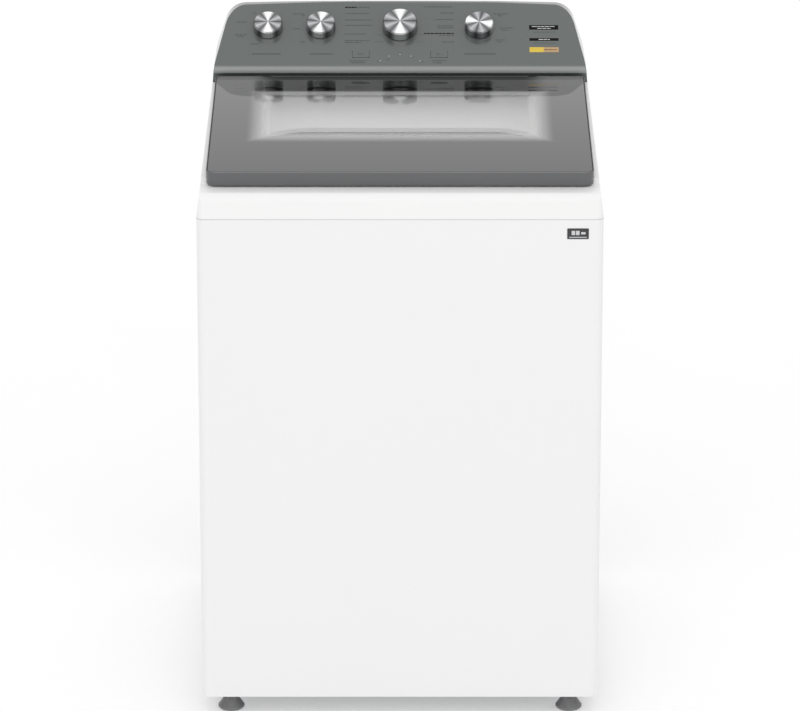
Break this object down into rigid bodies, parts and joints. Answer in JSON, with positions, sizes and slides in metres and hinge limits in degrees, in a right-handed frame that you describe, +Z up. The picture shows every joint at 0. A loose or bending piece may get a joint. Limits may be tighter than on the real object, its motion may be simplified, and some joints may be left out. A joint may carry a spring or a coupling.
{
  "type": "top load washing machine",
  "caption": "White top-load washing machine with a sloping tinted glass lid, a leaning grey control console with turned knobs, and a sprung tub inside",
  "frame": {"origin": "on the floor under the middle of the machine", "axes": "+Z up, front towards -Y, +X to the right seen from the front"},
  "size_m": [0.698, 0.705, 1.126],
  "materials": {
    "white_enamel": "gloss white baked enamel on sheet steel",
    "white_plastic": "white moulded ABS",
    "graphite_console": "satin dark grey moulded ABS",
    "lid_graphite": "dark grey moulded plastic",
    "tinted_glass": "toughened tinted glass with a printed border",
    "knob_core": "dark moulded plastic",
    "knob_aluminium": "spun aluminium",
    "key_film": "satin grey key cap",
    "light_lens": "translucent lens",
    "badge_film": "printed dark film",
    "foot_grey": "grey moulded nylon with a steel stud",
    "galvanised_sheet": "zinc-coated sheet steel",
    "zinc_screws": "zinc-plated steel",
    "bright_steel": "turned steel",
    "spring_steel": "coiled spring steel",
    "drum_steel": "polished stainless steel sheet",
    "motor_steel": "painted motor housing",
    "cast_aluminium": "die-cast aluminium",
    "tub_plastic": "light grey polypropylene",
    "ring_plastic": "pale grey polypropylene",
    "impeller_plastic": "pale grey polypropylene",
    "grey_plastic": "grey moulded nylon",
    "black_plastic": "black moulded plastic",
    "circuit_board": "green solder-masked board",
    "soft_rubber": "black moulded rubber"
  },
  "bodies": {
    "cabinet": {"cabinet_shell": "white_enamel", "rear_panel": "galvanised_sheet", "cabinet_screws": "zinc_screws", "base_frame": "galvanised_sheet", "foot_lock_nuts": "zinc_screws", "top_cover": "white_plastic", "console_fascia": "graphite_console", "console_housing": "graphite_console", "indicator_lenses": "light_lens", "knob_encoders": "black_plastic", "control_board": "circuit_board", "pressure_switch": "black_plastic", "inlet_valve": "grey_plastic", "inlet_spout": "grey_plastic", "drain_outlet": "grey_plastic", "cord_gland": "black_plastic", "capacity_badge": "badge_film", "lid_hinge_brackets": "bright_steel", "lid_lock_housing": "black_plastic", "suspension_seats": "galvanised_sheet", "suspension_rods": "bright_steel", "suspension_cups": "grey_plastic", "suspension_springs": "spring_steel"},
    "front_left_foot": {"foot_front_left": "foot_grey"},
    "front_right_foot": {"foot_front_right": "foot_grey"},
    "rear_left_foot": {"foot_rear_left": "foot_grey"},
    "rear_right_foot": {"foot_rear_right": "foot_grey"},
    "lid": {"lid_frame": "lid_graphite", "lid_glass": "tinted_glass", "lid_handle": "lid_graphite", "lid_hinge_pins": "bright_steel", "lid_strike": "bright_steel", "lid_bumpers": "soft_rubber"},
    "lock_bolt": {"lid_lock_bolt": "bright_steel"},
    "cycle_dial": {"cycle_knob": "knob_core", "cycle_knob_cap": "knob_aluminium"},
    "temperature_dial": {"temperature_knob": "knob_core", "temperature_knob_cap": "knob_aluminium"},
    "water_level_dial": {"water_level_knob": "knob_core", "water_level_knob_cap": "knob_aluminium"},
    "soil_dial": {"soil_knob": "knob_core", "soil_knob_cap": "knob_aluminium"},
    "start_button": {"start_key": "key_film"},
    "options_button": {"options_key": "key_film"},
    "tub": {"outer_tub": "tub_plastic", "tub_ring": "tub_plastic", "tub_support": "galvanised_sheet", "gearcase": "cast_aluminium", "hub_bearings": "bright_steel", "tub_seal": "soft_rubber", "drive_motor": "motor_steel", "drain_pump": "grey_plastic", "sump_hose": "soft_rubber", "drive_belt": "soft_rubber"},
    "basket": {"wash_basket": "drum_steel", "balance_ring": "ring_plastic", "basket_hub": "cast_aluminium"},
    "impeller": {"wash_impeller": "impeller_plastic"},
    "drive_wheel": {"drive_pulley": "cast_aluminium"},
    "motor_rotor": {"motor_pulley": "bright_steel"}
  },
  "joints": [
    {"name": "lid_hinge", "type": "hinge", "parent": "cabinet", "child": "lid", "pos_m": [0, 0.184, 1.011], "axis": [-1, 0, 0], "range_deg": [0, 100]},
    {"name": "cycle_dial_turn", "type": "hinge", "parent": "cabinet", "child": "cycle_dial", "pos_m": [0, 0.28532, 1.0895], "axis": [0, 0.5592, -0.829], "continuous": true},
    {"name": "temperature_dial_turn", "type": "hinge", "parent": "cabinet", "child": "temperature_dial", "pos_m": [-0.24, 0.28532, 1.0895], "axis": [0, 0.5592, -0.829], "range_deg": [-60, 60]},
    {"name": "water_level_dial_turn", "type": "hinge", "parent": "cabinet", "child": "water_level_dial", "pos_m": [-0.144, 0.28532, 1.0895], "axis": [0, 0.5592, -0.829], "range_deg": [-60, 60]},
    {"name": "soil_dial_turn", "type": "hinge", "parent": "cabinet", "child": "soil_dial", "pos_m": [0.144, 0.28532, 1.0895], "axis": [0, 0.5592, -0.829], "range_deg": [-60, 60]},
    {"name": "start_press", "type": "slide", "parent": "cabinet", "child": "start_button", "axis": [0, 0.5592, -0.829], "range_m": [0, 0.0015], "stiffness_N_per_m": 900},
    {"name": "options_press", "type": "slide", "parent": "cabinet", "child": "options_button", "axis": [0, 0.5592, -0.829], "range_m": [0, 0.0015], "stiffness_N_per_m": 900},
    {"name": "lock_bolt_slide", "type": "slide", "parent": "cabinet", "child": "lock_bolt", "axis": [-1, 0, 0], "range_m": [0, 0.008]},
    {"name": "front_left_foot_screw", "type": "slide", "parent": "cabinet", "child": "front_left_foot", "axis": [0, 0, 1], "range_m": [-0.012, 0]},
    {"name": "front_right_foot_screw", "type": "slide", "parent": "cabinet", "child": "front_right_foot", "axis": [0, 0, 1], "range_m": [-0.012, 0]},
    {"name": "rear_left_foot_screw", "type": "slide", "parent": "cabinet", "child": "rear_left_foot", "axis": [0, 0, 1], "range_m": [-0.012, 0]},
    {"name": "rear_right_foot_screw", "type": "slide", "parent": "cabinet", "child": "rear_right_foot", "axis": [0, 0, 1], "range_m": [-0.012, 0]},
    {"name": "tub_bounce", "type": "slide", "parent": "cabinet", "child": "tub", "axis": [0, 0, 1], "range_m": [-0.02, 0.008], "stiffness_N_per_m": 16000, "springref_m": 0.0243, "deforming": ["suspension_springs"]},
    {"name": "basket_spin", "type": "hinge", "parent": "tub", "child": "basket", "pos_m": [0, -0.01, 0.25], "axis": [0, 0, 1], "continuous": true},
    {"name": "impeller_spin", "type": "hinge", "parent": "basket", "child": "impeller", "pos_m": [0, -0.01, 0.25], "axis": [0, 0, 1], "continuous": true},
    {"name": "drive_pulley_spin", "type": "hinge", "parent": "tub", "child": "drive_wheel", "pos_m": [0, -0.01, 0.08], "axis": [0, 0, 1], "continuous": true},
    {"name": "motor_spin", "type": "hinge", "parent": "tub", "child": "motor_rotor", "pos_m": [0.15, 0.06, 0.08], "axis": [0, 0, 1], "continuous": true}
  ],
  "couplings": [
    {"joint": "drive_pulley_spin", "follows": "basket_spin", "ratio": 1},
    {"joint": "motor_spin", "follows": "basket_spin", "ratio": 3.5714}
  ]
}
